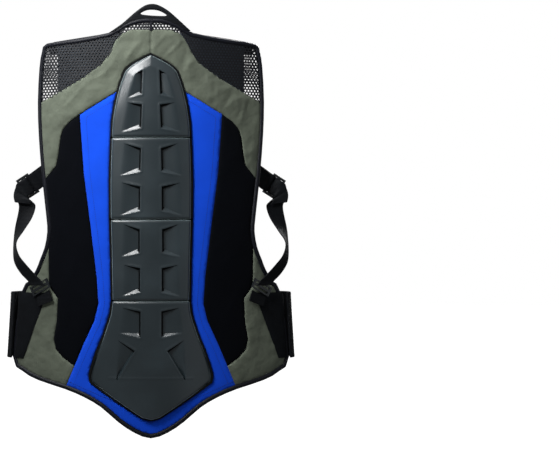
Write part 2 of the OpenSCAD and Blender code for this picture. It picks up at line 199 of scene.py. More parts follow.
def rough(points, size, seed=0.0):
    """Smooth noise from -1 to 1 at each 2-D or 3-D point, with bumps about size mm across."""
    out = np.empty(len(points))
    for i, p in enumerate(points):
        out[i] = noise.noise(Vector((p[0] / size, (p[2] if len(p) > 2 else 0.0) / size + seed, p[1] / size)))
    return out


# ---------- flat outlines ----------
def whole(half):
    """The other half of a half outline, so that it closes across the centre line."""
    return list(half) + [(-x, z) for x, z in reversed(half) if x > 0]


def mirrored(points):
    return [(-p[0], *p[1:]) for p in points]


def smooth(points, steps, closed=True):
    """A smooth curve through points of any dimension."""
    p = np.array(points, float)
    n = len(p)
    out = []
    for i in range(n if closed else n - 1):
        a, b, c, d = (p[j % n] if closed else p[min(max(j, 0), n - 1)] for j in (i - 1, i, i + 1, i + 2))
        for t in np.arange(steps) / steps:
            bend, twist = 2 * a - 5 * b + 4 * c - d, 3 * b - a - 3 * c + d
            out.append(0.5 * (2 * b + (c - a) * t + bend * t**2 + twist * t**3))
    if not closed:
        out.append(p[-1])
    return np.array(out)


def inset(points, d):
    """A closed outline moved in by d, or out where d is negative."""
    p = np.array(points, float)
    area = np.sum(p[:, 0] * np.roll(p[:, 1], -1) - np.roll(p[:, 0], -1) * p[:, 1])
    e = np.roll(p, -1, 0) - p
    e /= np.linalg.norm(e, axis=1, keepdims=True)
    normal = np.stack([-e[:, 1], e[:, 0]], 1) * np.sign(area)
    before = np.roll(normal, 1, 0)
    mid = normal + before
    mid /= np.linalg.norm(mid, axis=1, keepdims=True)
    return p + mid * (d / np.maximum(0.5, np.sum(mid * normal, 1)))[:, None]


def resampled(points, spacing, closed=True):
    p = [np.array(q, float) for q in points]
    ends = p[1:] + p[:1] if closed else p[1:]
    out = []
    for a, b in zip(p, ends):
        n = max(1, math.ceil(np.linalg.norm(b - a) / spacing))
        out += [a + (b - a) * k / n for k in range(n)]
    if not closed:
        out.append(p[-1])
    return np.array(out)


def holds(outline, points):
    """Which points lie inside an outline."""
    p = np.array(outline, float)
    x, z = points[:, 0], points[:, 1]
    inside = np.zeros(len(points), bool)
    for (x0, z0), (x1, z1) in zip(p, np.roll(p, -1, 0)):
        if z0 != z1:
            inside ^= ((z0 > z) != (z1 > z)) & (x < (x1 - x0) * (z - z0) / (z1 - z0) + x0)
    return inside


def kept(points, inside, outside):
    """Which points lie inside every outline of inside and outside every one of outside."""
    keep = np.ones(len(points), bool)
    for o in inside:
        keep &= holds(o, points)
    for o in outside:
        keep &= ~holds(o, points)
    return keep


def staggered(outline, across, up, extra):
    """Points over an outline's box, in rows that are shifted by half a step in turn."""
    box = np.array(outline, float)
    low, high = box.min(0), box.max(0)
    return np.array([(low[0] + (i + 0.5 * (j % 2)) * across, low[1] + j * up)
                     for j in range(int((high[1] - low[1]) / up) + extra)
                     for i in range(int((high[0] - low[0]) / across) + extra)])


def near(points, segments):
    """Distance from each point to the nearest of some segments, given as an (n, 2, 2) array."""
    a, b = segments[:, 0], segments[:, 1]
    ab = b - a
    length2 = np.maximum((ab**2).sum(1), 1e-9)
    out = np.empty(len(points))
    for i in range(0, len(points), 2000):
        ap = points[i : i + 2000, None] - a
        t = np.clip((ap * ab).sum(2) / length2, 0, 1)
        out[i : i + 2000] = np.linalg.norm(ap - ab * t[..., None], axis=2).min(1)
    return out


def segments_of(outline):
    p = np.array(outline, float)
    return np.stack([p, np.roll(p, -1, 0)], 1)


def region(inside, outside=(), lines=(), rings=(), spacing=4.0):
    """Triangles that fill what is inside every outline of inside and outside every one of outside.

    Open lines and closed rings become edges of the mesh too."""
    points, edges = [], []
    for shape, closed in [(o, True) for o in (*inside, *outside, *rings)] + [(o, False) for o in lines]:
        s = resampled(shape, spacing, closed)
        first, n = len(points), len(s)
        points += [tuple(q) for q in s]
        edges += [(first + k, first + (k + 1) % n) for k in range(n if closed else n - 1)]
    fixed = np.array(points)
    grid = staggered(inside[0], spacing, spacing * 0.866, 1)
    grid = grid[kept(grid, inside, outside)]
    clear = np.empty(len(grid), bool)
    for i in range(0, len(grid), 1000):
        clear[i : i + 1000] = (((grid[i : i + 1000, None] - fixed) ** 2).sum(2).min(1) > (0.5 * spacing) ** 2)
    points += [tuple(q) for q in grid[clear]]
    result = delaunay_2d_cdt([Vector(q) for q in points], edges, [], 0, 1e-4)
    flat = np.array([tuple(v) for v in result[0]])
    faces = np.array([f for f in result[2] if len(f) == 3])
    faces = faces[kept(flat[faces].mean(1), inside, outside)]
    a, b, c = (flat[faces[:, k]] for k in range(3))
    turn = (b[:, 0] - a[:, 0]) * (c[:, 1] - a[:, 1]) - (b[:, 1] - a[:, 1]) * (c[:, 0] - a[:, 0])
    faces[turn < 0] = faces[turn < 0][:, ::-1]
    faces = faces[np.abs(turn) > 1e-6]
    used = np.unique(faces)
    renumber = np.full(len(flat), -1)
    renumber[used] = np.arange(len(used))
    return flat[used], renumber[faces]


def rim_edges(faces):
    """The directed edges of the faces that no other face shares."""
    count = {}
    for f in faces:
        for k in range(len(f)):
            count[(int(f[k]), int(f[(k + 1) % len(f)]))] = 1
    return [(a, b) for a, b in count if (b, a) not in count]


def loops_of(edges):
    """Faces that close the rings that some directed edges form."""
    after = dict(edges)
    out = []
    while after:
        start, at = after.popitem()
        ring = [start]
        while at != start and at in after:
            ring.append(at)
            at = after.pop(at)
        if at == start and len(ring) > 2:
            out.append(tuple(reversed(ring)))
    return out


def edge_distance(flat, faces):
    rim = np.array(rim_edges(faces))
    return near(flat, np.stack([flat[rim[:, 0]], flat[rim[:, 1]]], 1))


# ---------- meshes ----------
def mesh_object(name, verts, faces, material, sharp=35):
    """A shaded mesh object from points in mm."""
    mesh = bpy.data.meshes.new(name)
    points = [tuple(v) for v in np.asarray(verts, float) * MM]
    mesh.from_pydata(points, [], [tuple(int(i) for i in f) for f in faces])
    mesh.update()
    mesh.polygons.foreach_set("use_smooth", [True] * len(mesh.polygons))
    if sharp is not None:
        mesh.set_sharp_from_angle(angle=math.radians(sharp))
    mesh.materials.append(material)
    obj = bpy.data.objects.new(name, mesh)
    bpy.context.scene.collection.objects.link(obj)
    return obj


def closed_sheet(faces, front, back):
    """Two skins joined along their edge: front and back are (n, 3) points over one flat mesh."""
    n = len(front)
    out = [tuple(f) for f in faces] + [(f[2] + n, f[1] + n, f[0] + n) for f in faces]
    out += [(b, a, a + n, b + n) for a, b in rim_edges(faces)]
    return np.vstack([front, back]), out


def placed(flat, y):
    return np.stack([flat[:, 0], np.broadcast_to(y, len(flat)), flat[:, 1]], 1)


def in_bands(name, verts, faces, material, bands, stands_for=(), skin=0, lining=None):
    """Splits a mesh at the heights in bands.

    stands_for gives, for each band, the CAD nodes that its part replaces. skin is how many points the
    front of a closed sheet has, and is used to close the sheet where it is cut. lining is for its back."""
    verts = np.asarray(verts, float)
    master = mesh_object(name + "-whole", verts, faces, material, sharp=None)
    normals = np.array([tuple(v.vector) for v in master.data.vertex_normals])
    middle = np.array([verts[list(f)].mean(0)[2] for f in faces])
    parts = []
    for i, (top, bottom, upper, lower, start, end) in enumerate(bands):
        chosen = [faces[k] for k in np.nonzero((middle <= top) & (middle > bottom))[0]]
        if not chosen:
            continue
        ends = rim_edges(chosen)
        if skin:
            chosen += [(b, a, a + skin, b + skin) for a, b in ends if a < skin and b < skin]
        else:
            chosen += loops_of(ends)
        used = sorted({v for f in chosen for v in f})
        number = {v: k for k, v in enumerate(used)}
        renumbered = [[number[v] for v in f] for f in chosen]
        part = mesh_object(f"{name}-{i + 1}", verts[used], renumbered, material, None)
        part.data.normals_split_custom_set_from_vertices([tuple(n) for n in normals[used]])
        if lining:
            part.data.materials.append(lining)
            for polygon, f in zip(part.data.polygons, chosen):
                polygon.material_index = int(min(f) >= skin)
        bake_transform(part)
        if i < len(stands_for) and stands_for[i]:
            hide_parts(*stands_for[i])
        parts.append(part)
    bpy.data.objects.remove(master)
    return parts


def on_body(obj, body, slot, *stands_for):
    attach(obj, body)
    if stands_for:
        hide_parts(*stands_for)
    return obj


def rounded_node(name, material, width, segments=3, angle=40):
    """Gives a CAD node its material, and rounds its edges by width mm."""
    node = nodes[name]
    node.data.materials.clear()
    node.data.materials.append(material)
    bevel = node.modifiers.new("rounding", "BEVEL")
    bevel.width, bevel.segments = width * MM, segments
    bevel.limit_method, bevel.angle_limit = "ANGLE", math.radians(angle)


def sweep(path, widths, profile, closed=False):
    """A profile carried along a path. widths gives each station's width direction.

    The profile's first number runs along the width and its second across the thickness."""
    p = np.asarray(path, float)
    w = np.asarray(widths, float)
    ahead = np.roll(p, -1, 0) - np.roll(p, 1, 0)
    if not closed:
        ahead[0], ahead[-1] = p[1] - p[0], p[-1] - p[-2]
    ahead /= np.linalg.norm(ahead, axis=1, keepdims=True)
    w = w / np.linalg.norm(w, axis=1, keepdims=True)
    normal = np.cross(ahead, w)
    normal /= np.maximum(np.linalg.norm(normal, axis=1, keepdims=True), 1e-6)
    q = np.asarray(profile, float)
    verts = (p[:, None] + w[:, None] * q[None, :, :1] + normal[:, None] * q[None, :, 1:]).reshape(-1, 3)
    n, m = len(p), len(q)
    faces = []
    for i in range(n if closed else n - 1):
        j = (i + 1) % n
        faces += [(i * m + k, i * m + (k + 1) % m, j * m + (k + 1) % m, j * m + k) for k in range(m)]
    if not closed:
        faces += [tuple(range(m))[::-1], tuple(range((n - 1) * m, n * m))]
    return verts, faces


def webbing_profile(width, thick):
    """A flat strap's section: two thicker woven edges and a slightly ribbed face."""
    u = np.linspace(-1, 1, 13)
    half = thick / 2 * (0.86 + 0.14 * (np.abs(u) > 0.75))
    half[0] = half[-1] = thick * 0.22
    top = np.stack([u * width / 2, half], 1)
    return np.vstack([top, top[::-1] * (1, -1)])


def round_profile(a, b, n=12):
    t = np.arange(n) * 2 * math.pi / n
    return np.stack([a * np.cos(t), b * np.sin(t)], 1)


def tube(outline, y, a, b, sides=12):
    """A cord or tape that runs round an outline at y. a and b are half its width and thickness."""
    ahead = np.roll(outline, -1, 0) - np.roll(outline, 1, 0)
    widths = np.stack([-ahead[:, 1], 0 * ahead[:, 0], ahead[:, 0]], 1)
    return sweep(placed(outline, y), widths, round_profile(a, b, sides), closed=True)


def stitches(path, normal, pitch=3.2, length=2.2, radius=0.32):
    """Short rounded threads laid end to end along a path, standing out along its normals."""
    p, up = np.asarray(path, float), np.asarray(normal, float)
    step = np.linalg.norm(np.diff(p, axis=0), axis=1)
    along = np.concatenate([[0], np.cumsum(step)])
    verts, faces = [], []
    for s in np.arange(pitch / 2, along[-1] - pitch / 2, pitch):
        ends = [np.array([np.interp(s + e, along, p[:, k]) for k in range(3)])
                for e in (-length / 2, length / 2)]
        n = np.array([np.interp(s, along, up[:, k]) for k in range(3)])
        t = ends[1] - ends[0]
        t /= max(np.linalg.norm(t), 1e-6)
        side = np.cross(t, n)
        first = len(verts)
        for f, lift, wide in ((0, -0.2, 0.5), (0.25, 0.9, 1), (0.75, 0.9, 1), (1, -0.2, 0.5)):
            c = ends[0] + (ends[1] - ends[0]) * f + n * lift * radius
            verts += [c + way * radius * wide for way in (side, n, -side, -n)]
        for k in range(3):
            faces += [(first + 4 * k + m, first + 4 * k + (m + 1) % 4, first + 4 * k + 4 + (m + 1) % 4,
                       first + 4 * k + 4 + m) for m in range(4)]
        faces += [(first + 3, first + 2, first + 1, first), (first + 12, first + 13, first + 14, first + 15)]
    return np.array(verts), faces


def net(inside, outside, depth, pitch, strand, thick):
    """An open net of six-sided holes over the area inside every outline of inside."""
    size = pitch / math.sqrt(3)
    cells = staggered(inside[0], pitch, 1.5 * size, 2)
    turns = [math.radians(60 * k) for k in range(6)]
    corners = [(math.sin(a) * size, math.cos(a) * size) for a in turns]
    flat, number, faces, shared = [], {}, [], {}
    for cx, cz in cells[kept(cells, inside, outside)]:
        outer, inner = [], []
        for dx, dz in corners:
            key = (round((cx + dx) * 20), round((cz + dz) * 20))
            if key not in number:
                number[key] = len(flat)
                flat.append((cx + dx, cz + dz))
            outer.append(number[key])
        for dx, dz in corners:
            inner.append(len(flat))
            flat.append((cx + dx * (1 - strand / pitch), cz + dz * (1 - strand / pitch)))
        for k in range(6):
            m = (k + 1) % 6
            faces.append((outer[m], outer[k], inner[k], inner[m]))
            shared[(outer[k], outer[m])] = 1
        shared.update({(-1 - inner[k], -1 - inner[(k + 1) % 6]): 2 for k in range(6)})
    flat = np.array(flat)
    n = len(flat)
    mid = depth(flat)
    out = [tuple(f) for f in faces] + [tuple(i + n for i in reversed(f)) for f in faces]
    for (a, b), kind in shared.items():
        if kind == 2:
            a, b = -1 - a, -1 - b
            out.append((b, a, a + n, b + n))
        elif (b, a) not in shared:
            out.append((a, b, b + n, a + n))
    return np.vstack([placed(flat, mid - thick / 2), placed(flat, mid + thick / 2)]), out


# ---------- materials ----------
def node_graph(name):
    """A new material, its node tree, its shader, and the object coordinates its patterns use."""
    material = bpy.data.materials.new(name)
    material.use_nodes = True
    tree = material.node_tree
    where = tree.nodes.new("ShaderNodeTexCoord").outputs["Object"]
    return material, tree, tree.nodes["Principled BSDF"], where


def set_values(node, values):
    for socket, value in values.items():
        node.inputs[socket].default_value = value


def link(tree, a, b):
    tree.links.new(a, b)


def noise_node(tree, where, scale, detail=4.0):
    n = tree.nodes.new("ShaderNodeTexNoise")
    n.inputs["Scale"].default_value = scale
    n.inputs["Detail"].default_value = detail
    link(tree, where, n.inputs["Vector"])
    return n.outputs["Fac"]


def ramp_node(tree, fac, stops):
    r = tree.nodes.new("ShaderNodeValToRGB")
    for e, (at, colour) in zip(r.color_ramp.elements, (stops[0], stops[-1])):
        e.position, e.color = at, (*colour, 1)
    for at, colour in stops[1:-1]:
        r.color_ramp.elements.new(at).color = (*colour, 1)
    link(tree, fac, r.inputs["Fac"])
    return r.outputs["Color"]


def wave_node(tree, where, direction, period_mm, distortion=0.6):
    w = tree.nodes.new("ShaderNodeTexWave")
    w.wave_type, w.bands_direction = "BANDS", direction
    w.inputs["Scale"].default_value = 2 * math.pi / (20 * period_mm * MM)
    w.inputs["Distortion"].default_value = distortion
    w.inputs["Detail"].default_value = 1.0
    link(tree, where, w.inputs["Vector"])
    return w.outputs["Fac"]


def combine(tree, operation, a, b):
    m = tree.nodes.new("ShaderNodeMath")
    m.operation = operation
    for socket, value in zip(m.inputs, (a, b)):
        if isinstance(value, (int, float)):
            socket.default_value = value
        else:
            link(tree, value, socket)
    return m.outputs[0]


def add_bump(tree, shader, layers):
    """layers are (height, strength, distance in mm), one on top of the other."""
    before = None
    for height, strength, distance in layers:
        b = tree.nodes.new("ShaderNodeBump")
        b.inputs["Strength"].default_value = strength
        b.inputs["Distance"].default_value = distance * MM
        link(tree, height, b.inputs["Height"])
        if before:
            link(tree, before, b.inputs["Normal"])
        before = b.outputs["Normal"]
    link(tree, before, shader.inputs["Normal"])


def shade(colour, k):
    return tuple(min(1.0, c * k) for c in colour)


def mixed(tree, a, share_a, b, share_b):
    """The sum of two patterns, each times its share."""
    parts = [combine(tree, "MULTIPLY", n, share) for n, share in ((a, share_a), (b, share_b))]
    return combine(tree, "ADD", *parts)


def fabric(name, colour, weave, roughness, sheen, specular=0.3, contrast=0.22, crease=0.5, folds=0.0):
    """A woven cloth: crossed threads, soft creases, and a slightly uneven dye."""
    material, tree, shader, where = node_graph(name)
    dye = noise_node(tree, where, 28, 5)
    weft, warp = (wave_node(tree, where, way, weave) for way in "XZ")
    threads = combine(tree, "MULTIPLY", weft, warp)
    stops = [(0.2, shade(colour, 1 - contrast)), (0.55, colour), (0.85, shade(colour, 1 + contrast))]
    link(tree, ramp_node(tree, mixed(tree, dye, 0.75, threads, 0.35), stops), shader.inputs["Base Color"])
    set_values(shader, {"Roughness": roughness, "Sheen Weight": sheen, "Sheen Roughness": 0.5,
                        "Specular IOR Level": specular})
    layers = [(noise_node(tree, where, 45, 3), crease, 0.8), (threads, 0.35, 0.15)]
    if folds:
        layers.insert(0, (noise_node(tree, where, 50, 1.5), folds, 8.0))
    add_bump(tree, shader, layers)
    return material


def ribbed(name, colour, period, roughness):
    """Webbing or elastic: fine ribs one way, and a small cross weave."""
    material, tree, shader, where = node_graph(name)
    ribs = wave_node(tree, where, "Z", period, 0.2)
    cross = wave_node(tree, where, "DIAGONAL", period * 0.55, 0.2)
    dye = noise_node(tree, where, 60, 4)
    stops = [(0.2, shade(colour, 0.55)), (0.8, shade(colour, 1.7))]
    link(tree, ramp_node(tree, mixed(tree, ribs, 0.45, dye, 0.6), stops), shader.inputs["Base Color"])
    set_values(shader, {"Roughness": roughness, "Sheen Weight": 0.01, "Specular IOR Level": 0.08})
    add_bump(tree, shader, [(ribs, 0.5, 0.3), (cross, 0.3, 0.15)])
    return material


def moulded(name, colour, roughness, specular=0.5, wear_and_highlight=1.35):
    """Moulded plastic: a fine spark-eroded grain, smudged gloss, and colour by pointiness: paler edges,
    partly scuffing and partly painted highlight, and slightly darker hollows as painted shade.
    """
    material, tree, shader, where = node_graph(name)
    smudge = noise_node(tree, where, 14, 6)
    # Pointiness paints the edges paler and the hollows a little darker: partly scuffing, partly painted
    # highlight and painted shade.
    wear_highlight_and_shade = tree.nodes.new("ShaderNodeNewGeometry").outputs["Pointiness"]
    stops = [(0.35, shade(colour, 0.82)), (0.5, colour), (0.62, shade(colour, wear_and_highlight))]
    link(tree, ramp_node(tree, mixed(tree, smudge, 0.35, wear_highlight_and_shade, 0.65), stops), shader.inputs["Base Color"])
    gloss = tree.nodes.new("ShaderNodeMapRange")
    link(tree, smudge, gloss.inputs["Value"])
    set_values(gloss, {"To Min": roughness - 0.07, "To Max": roughness + 0.09})
    link(tree, gloss.outputs["Result"], shader.inputs["Roughness"])
    set_values(shader, {"Specular IOR Level": specular})
    add_bump(tree, shader, [(noise_node(tree, where, 1500, 2), 0.12, 0.12)])
    return material


def foam_skin(name, colour):
    """Closed-cell foam: small pits and a slightly uneven colour."""
    material, tree, shader, where = node_graph(name)
    cells = tree.nodes.new("ShaderNodeTexVoronoi")
    set_values(cells, {"Scale": 450})
    link(tree, where, cells.inputs["Vector"])
    stops = [(0.3, shade(colour, 0.8)), (0.7, shade(colour, 1.1))]
    link(tree, ramp_node(tree, noise_node(tree, where, 20, 5), stops), shader.inputs["Base Color"])
    set_values(shader, {"Roughness": 0.8})
    add_bump(tree, shader, [(cells.outputs["Distance"], 0.4, 0.3)])
    return material


# Moulded pieces: colour, roughness, specular, and how much paler the edges are, partly scuffing and partly
# painted highlight.
PLATE = moulded("plate_plastic", (0.009, 0.0155, 0.019), 0.36, 0.6, 1.6)
# Near-black plastic for the pockets' upper and inner walls: painted shade, since the walls are of the plates'
# own plastic.
POCKET_PAINTED_SHADE = moulded("pocket_painted_shade", (0.0012, 0.0016, 0.002), 0.6, 0.08, 1.2)
# Pale plastic for a thin bead round each plate: its pale colour is a painted highlight along the rounded
# edge.
PLATE_EDGE_HIGHLIGHT = moulded("plate_edge_painted_highlight", (0.10, 0.13, 0.135), 0.4, wear_and_highlight=1.2)
RIM = moulded("rim_rubber", (0.0016, 0.002, 0.0026), 0.6, 0.1, 1.6)
BUCKLE = moulded("buckle_plastic", (0.004, 0.005, 0.006), 0.24, 0.6, 1.8)
CLIP = moulded("clip_plastic", (0.13, 0.16, 0.175), 0.35)
BADGE_SKIN = moulded("badge_rubber", (0.11, 0.145, 0.14), 0.5)
FOAM_SKIN = foam_skin("orange_foam", (0.95, 0.20, 0.012))
# Woven pieces: colour, thread pitch or rib pitch in mm, roughness, sheen, specular, contrast, crease.
WEBBING = ribbed("webbing_weave", (0.0018, 0.0023, 0.0032), 2.0, 0.65)
ELASTIC = ribbed("belt_elastic", (0.0020, 0.0026, 0.0036), 1.6, 0.85)
BLUE = fabric("blue_cloth", (0.003, 0.050, 0.50), 0.8, 0.9, 0.02, 0.1, 0.12, 0.4)
OLIVE = fabric("olive_cloth", (0.074, 0.086, 0.064), 0.9, 0.8, 0.06, 0.2, 0.22, 1.0, folds=0.4)
SLATE_CLOTH = fabric("slate_cloth", (0.016, 0.024, 0.032), 0.9, 0.75, 0.08, 0.25, crease=0.9)
STRETCH = fabric("stretch_cloth", (0.0012, 0.0016, 0.0028), 0.7, 0.95, 0.01, 0.04)
BINDING = fabric("binding_tape", (0.002, 0.0026, 0.0056), 0.6, 0.5, 0.01, 0.16, crease=0.3)
NET = fabric("net_yarn", (0.003, 0.004, 0.0062), 0.6, 0.55, 0.02, 0.22, crease=0.1)
NET_BACK = fabric("net_backing", (0.0014, 0.0018, 0.0028), 0.8, 0.95, 0.01, 0.04)
NET_LINING = fabric("net_lining", (0.055, 0.066, 0.08), 0.9, 0.9, 0.02, 0.06)
PADDING = fabric("pad_cloth", (0.21, 0.34, 0.165), 1.3, 0.9, 0.1, 0.15, 0.12, 0.3)
LOOP_PILE = fabric("loop_pile", (0.0022, 0.0026, 0.0034), 1.6, 1.0, 0.08, 0.05, crease=0.9)
TONGUE_CLOTH = fabric("tongue_cloth", (0.046, 0.068, 0.062), 0.9, 0.75, 0.08, 0.2, crease=0.8)
THREAD = fabric("thread", (0.15, 0.17, 0.13), 0.4, 0.7, 0, 0.3, 0.1, 0.1)
DARK_THREAD = fabric("dark_thread", (0.002, 0.004, 0.02), 0.4, 0.7, 0, 0.3, 0.1, 0.1)
PALE_THREAD = fabric("pale_thread", (0.13, 0.19, 0.17), 0.4, 0.7, 0, 0.3, 0.1, 0.1)

# ---------- back fabric ----------
VEST = smooth(whole([*NECK, *SHOULDER, *SIDE, *HEM]), 2)
INNER = inset(VEST, 4.5)
STACK = whole(PLATES)
CUT_LINES = [[(-260, z), (260, z)] for z in CUT_Z]


def section_nodes(suffix):
    """For each band, the section nodes that its cloth stands for."""
    return [(f"top_{suffix}", f"upper_mid_{suffix}"), (f"lower_mid_{suffix}",), (f"lumbar_{suffix}",)]


CREASE_TURN = np.array([[0.8, 0.25], [-0.6, 0.35]])  # turns and stretches the creases along one diagonal


def cloth_on_back(flat, faces, puff, wrinkle, seed, size=30):
    """Front and back skins of a fabric panel on the back, sewn down along its edge."""
    d = edge_distance(flat, faces)
    lift = puff * (1 - np.exp(-d / 3.5)) - 0.3
    creases = (1 - np.abs(rough(flat @ CREASE_TURN, size * 1.7, seed + 9))) ** 6
    lift += wrinkle * ease(d / 14) * (rough(flat * (1, 0.45), size, seed) + 0.9 * creases)
    return placed(flat, back_y(flat[:, 0]) - lift), placed(flat, back_y(flat[:, 0]) + FABRIC_T - 0.2)


def sheet_facts(obj, size=None):
    """Works out a cloth piece's width, height and area, from the size in mm that it was cut to or else from
    its outline, and does nothing with them.
    """
    co = np.array([v.co for v in obj.data.vertices])
    span = co.max(0) - co.min(0)
    outline_size = (float(np.hypot(span[0], 0.35 * span[1])), float(span[2]))
    width, height = [n * MM for n in size] if size else outline_size
    width, height = max(width, 0.0105), max(height, 0.0105)  # a sheet's sides are over 10 mm
    area = sum(p.area for p in obj.data.polygons) / 2
    area = min(max(area, 0.31 * width * height), width * height)


def cloth_in_bands(name, faces, front, back, material, slot, stands_for):
    verts, out = closed_sheet(faces, front, back)
    for part in in_bands(name, verts, out, material, BACK_BANDS, stands_for, len(front), NET_BACK):
        sheet_facts(part)


def back_panel(name, inside, outside, material, slot, stands_for, puff, wrinkle, seed):
    flat, faces = region(inside, outside, lines=CUT_LINES)
    cloth_in_bands(name, faces, *cloth_on_back(flat, faces, puff, wrinkle, seed), material, slot, stands_for)


UNDER_PLATES = inset(STACK, -3.6)
back_panel("plate_backing", [UNDER_PLATES], [], STRETCH, "stretch_fabric", (), 0.2, 0.05, 8.8)
back_panel("centre_cloth", [INNER, whole(CENTRE)], [UNDER_PLATES], BLUE, "blue_fabric",
           section_nodes("centre_panel"), 0.9, 0.12, 3.1)

for label, turned in (("right", False), ("left", True)):
    outline = [*OLIVE_LOW[-3::-1], (260, -252), (260, -338), *HIP_EDGE[::-1], *CENTRE_EDGE[-2:0:-1]]
    outline = mirrored(outline) if turned else outline
    back_panel(f"side_cloth_{label}", [INNER, outline], [], STRETCH, "stretch_fabric",
               section_nodes("side_panels") if turned else (), 0.9, 0.5, 7.7)

OLIVE_UPPER = whole([*OLIVE_TOP, *OLIVE_LOW])
centre_seam = [[(x, -30), (x, -62)] for x in (-1.6, 0, 1.6)]
flat, faces = region([INNER, OLIVE_UPPER], [UNDER_PLATES], lines=[*CUT_LINES, *centre_seam], spacing=2.6)
front, back = cloth_on_back(flat, faces, 1.0, 1.5, 1.3, size=15)
seam = np.exp(-((flat[:, 0] / 1.3) ** 2)) * (flat[:, 1] > -70)
front[:, 1] += 1.5 * seam - 0.7
cloth_in_bands("upper_cloth", faces, front, back, OLIVE, "green_fabric", [("upper_back_panel",)])

for label, turned in (("right", False), ("left", True)):
    corner = [*HIP_EDGE, (260, -338), (260, -640), (126, -640), (126, -552), (123, -545)]
    corner = mirrored(corner) if turned else corner
    back_panel(f"hip_cloth_{label}", [INNER, corner], [], OLIVE, "green_fabric",
               [(), (), ("hip_corner_panels",)] if turned else (), 1.0, 1.5, 5.2)

# ---------- shoulder nets and collar ----------
UNDER_OLIVE = whole([*OLIVE_TOP, (260, -135), (260, -640), (0, -640)])
SEE_THROUGH_X = 137  # beyond this the net has no backing, and shows light


def net_on_back(flat):
    return back_y(flat[:, 0]) - 0.3 + 0.35 * rough(flat, 30, 2.0)


verts, out = net([INNER], [UNDER_OLIVE], net_on_back, pitch=4.6, strand=2.1, thick=0.9)
on_body(mesh_object("shoulder_net", verts, out, NET, 60), "upper_back", "mesh", "shoulder_nets")
BACKED = [(-SEE_THROUGH_X, 40), (SEE_THROUGH_X, 40), (SEE_THROUGH_X, -200), (-SEE_THROUGH_X, -200)]
COLLAR = [(-42, 40), (42, 40), (42, -40), (-42, -40)]
flat, faces = region([INNER, BACKED], [UNDER_OLIVE, COLLAR], spacing=5.0)
base = back_y(flat[:, 0])
verts, out = closed_sheet(faces, placed(flat, base + 1.0), placed(flat, base + 2.4))
on_body(mesh_object("shoulder_lining", verts, out, NET_LINING), "upper_back", "mesh")


def bridge(side):
    """The net that folds over the shoulder, from the back to the yoke."""
    xs = np.linspace(60, 152, 34)
    ts = np.linspace(0, 1, 26)
    edge = np.interp(xs, [61, 110, 152], [-37, -44, -50])
    rows = []
    for skin in (0.0, 1.8):
        for t in ts:
            y = back_y(xs) + 1.5 + (yoke_y(xs) - 1.5 - back_y(xs) - 1.5) * t
            full = ease((xs - 58) / 16) * ease((156 - xs) / 12)
            sag = 9 * math.sin(math.pi * t) ** 0.8 * (0.3 + 0.7 * full)
            z = edge + sag - skin - (6 * t if t > 0.5 else 0) * (t - 0.5) * 2
            rows.append(np.stack([side * xs, y, z], 1))
    verts = np.vstack(rows)
    n, m = len(ts), len(xs)
    faces = []
    for j in range(n - 1):
        for i in range(m - 1):
            a, b, c, d = j * m + i, j * m + i + 1, (j + 1) * m + i + 1, (j + 1) * m + i
            faces += [(a, b, c, d), (d + n * m, c + n * m, b + n * m, a + n * m)]
    ring = ([*range(m)] + [j * m + m - 1 for j in range(1, n)]
            + [(n - 1) * m + i for i in range(m - 2, -1, -1)] + [j * m for j in range(n - 2, 0, -1)])
    faces += [(b, a, a + n * m, b + n * m) for a, b in zip(ring, ring[1:] + ring[:1])]
    return verts, faces


for label, side in (("right", 1), ("left", -1)):
    verts, out = bridge(side)
    if side < 0:
        out = [f[::-1] for f in out]
    part = mesh_object(f"shoulder_fold_{label}", verts, out, NET_BACK, 50)
    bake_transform(part)
    sheet_facts(part, SHOULDER_FOLD)

# ---------- binding and loop ----------
BIND_PATH = resampled(inset(VEST, 2.6), 4.0)
base = back_y(BIND_PATH[:, 0]) + FABRIC_T / 2
verts, out = tube(BIND_PATH, base + 0.25 * rough(BIND_PATH, 18, 9.0), 3.6, 3.5, 14)
in_bands("edge_tape", verts, out, BINDING, BACK_BANDS, section_nodes("binding"))

BLUE_EDGE = whole(CENTRE[:-2] + [(126, -549), (60, -576), (0, -610)])
for name, outline, material, slot in (
    ("upper_seam", inset(OLIVE_UPPER, 2.4), THREAD, "green_fabric"),
    ("centre_seam", inset(BLUE_EDGE, 9), DARK_THREAD, "blue_fabric"),
):
    path = resampled(outline, 3.0)
    path = path[holds(inset(VEST, 9), path)]
    runs = np.split(path, np.nonzero(np.linalg.norm(np.diff(path, axis=0), axis=1) > 8)[0] + 1)
    all_verts, all_faces = [], []
    for run in runs:
        if len(run) < 4:
            continue
        sewn = placed(run, back_y(run[:, 0]) - 0.25)
        verts, out = stitches(sewn, np.tile((0, -1, 0), (len(run), 1)))
        start = sum(len(v) for v in all_verts)
        all_verts.append(verts)
        all_faces += [tuple(i + start for i in f) for f in out]
    in_bands(name, np.vstack(all_verts), all_faces, material, BACK_BANDS)


def along(line, t):
    """Points on a line, at shares t of its length."""
    d = np.concatenate([[0], np.cumsum(np.linalg.norm(np.diff(line, axis=0), axis=1))])
    return np.stack([np.interp(t * d[-1], d, line[:, k]) for k in range(line.shape[1])], 1)


loop_outline = [*smooth(LOOP_RISE, 4, False), *smooth(LOOP_FOOT, 3, False)]
flat, faces = region([loop_outline], [smooth(LOOP_HOLE, 3)], spacing=1.5)
d = edge_distance(flat, faces)
bulge = 1.5 * np.sqrt(np.clip(d / 1.6, 0, 1)) * (1 - 0.15 * np.exp(-((d - 2.6) ** 2) / 0.3))
base = back_y(flat[:, 0]) * 0.6 + 0.3
verts, out = closed_sheet(faces, placed(flat, base - bulge), placed(flat, base + bulge))
on_body(mesh_object("hanging_loop", verts, out, WEBBING, 50), "upper_back", "webbing", "hang_loop")

